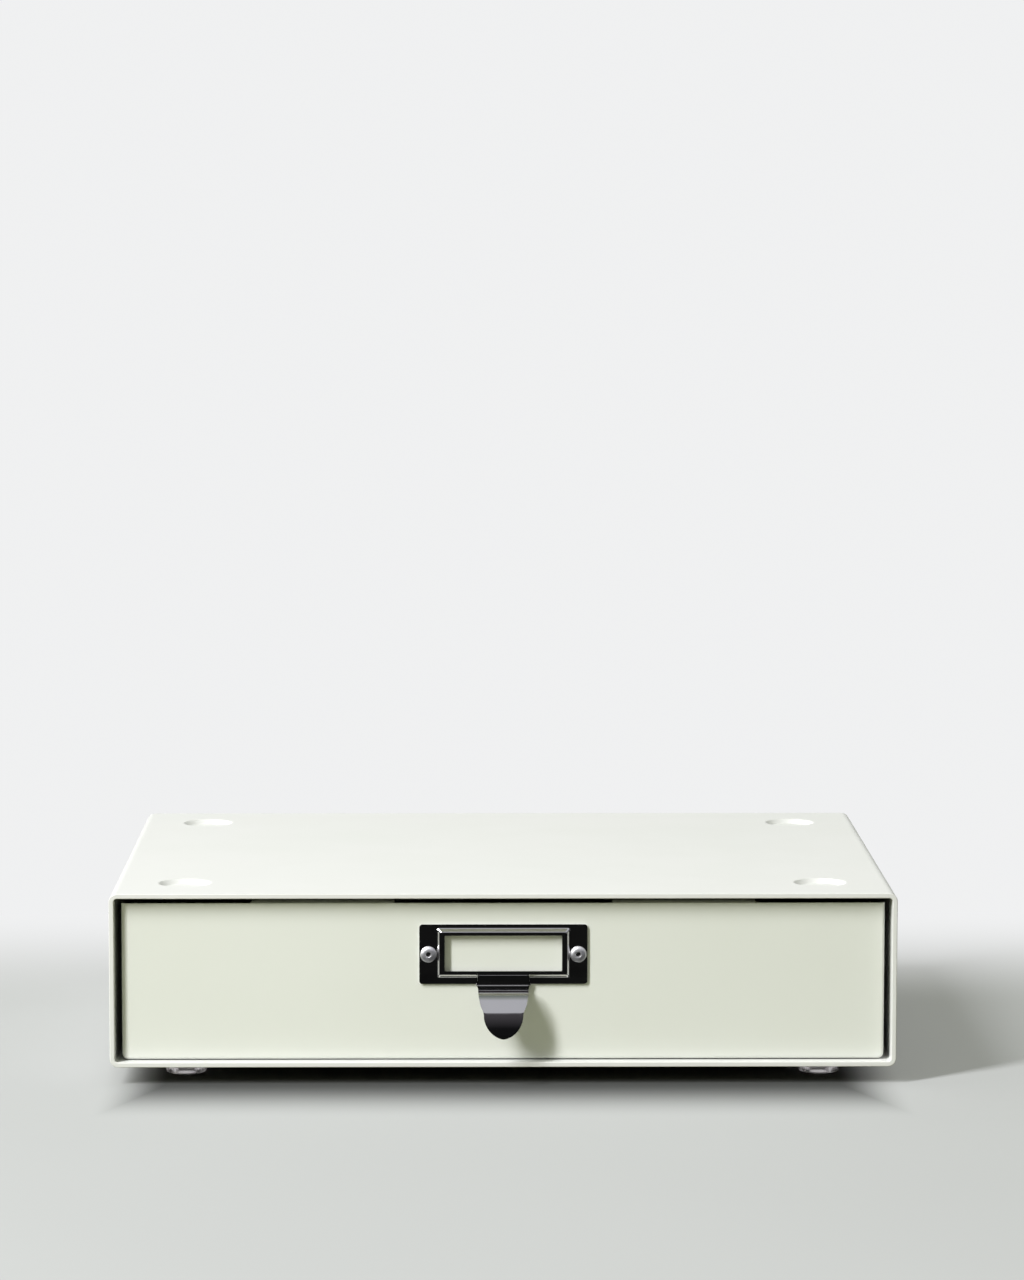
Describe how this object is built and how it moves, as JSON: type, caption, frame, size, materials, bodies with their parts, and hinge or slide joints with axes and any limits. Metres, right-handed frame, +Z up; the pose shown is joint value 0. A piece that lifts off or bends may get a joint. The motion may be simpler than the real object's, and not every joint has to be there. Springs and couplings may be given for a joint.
{
  "type": "stackable drawer unit",
  "caption": "Stackable steel desk drawer: an open-fronted sleeve on clear feet, with one sliding drawer, a framed label window and a tongue pull.",
  "frame": {"origin": "on the table, under the middle of the whole unit with its pull", "axes": "+X to the right seen from the front, +Y to the back, +Z up; the drawer opens towards -Y"},
  "size_m": [0.35, 0.2602, 0.086],
  "materials": {
    "cream_coat_sleeve": "satin powder coat",
    "cream_coat_drawer": "satin powder coat",
    "nickel_plate": "polished",
    "rivet_metal": "satin",
    "mandrel_steel": "plain",
    "steel_screw": "zinc plated",
    "clear_plastic": "clear",
    "glide_plastic": "smooth"
  },
  "bodies": {
    "shell": {"shell": "cream_coat_sleeve", "rear_panel": "cream_coat_sleeve", "foot_front_left": "clear_plastic", "foot_front_right": "clear_plastic", "foot_rear_left": "clear_plastic", "foot_rear_right": "clear_plastic", "foot_screw_front_left": "steel_screw", "foot_screw_front_right": "steel_screw", "foot_screw_rear_left": "steel_screw", "foot_screw_rear_right": "steel_screw", "rear_bumper_left": "clear_plastic", "rear_bumper_right": "clear_plastic"},
    "drawer": {"drawer_tray": "cream_coat_drawer", "drawer_front": "cream_coat_drawer", "label_holder": "nickel_plate", "rivet_left": "rivet_metal", "rivet_right": "rivet_metal", "rivet_mandrel_left": "mandrel_steel", "rivet_mandrel_right": "mandrel_steel", "glide_strip_left": "glide_plastic", "glide_strip_right": "glide_plastic"}
  },
  "joints": [
    {"name": "drawer_slide", "type": "slide", "parent": "shell", "child": "drawer", "axis": [0, -1, 0], "range_m": [0, 0.18]}
  ]
}
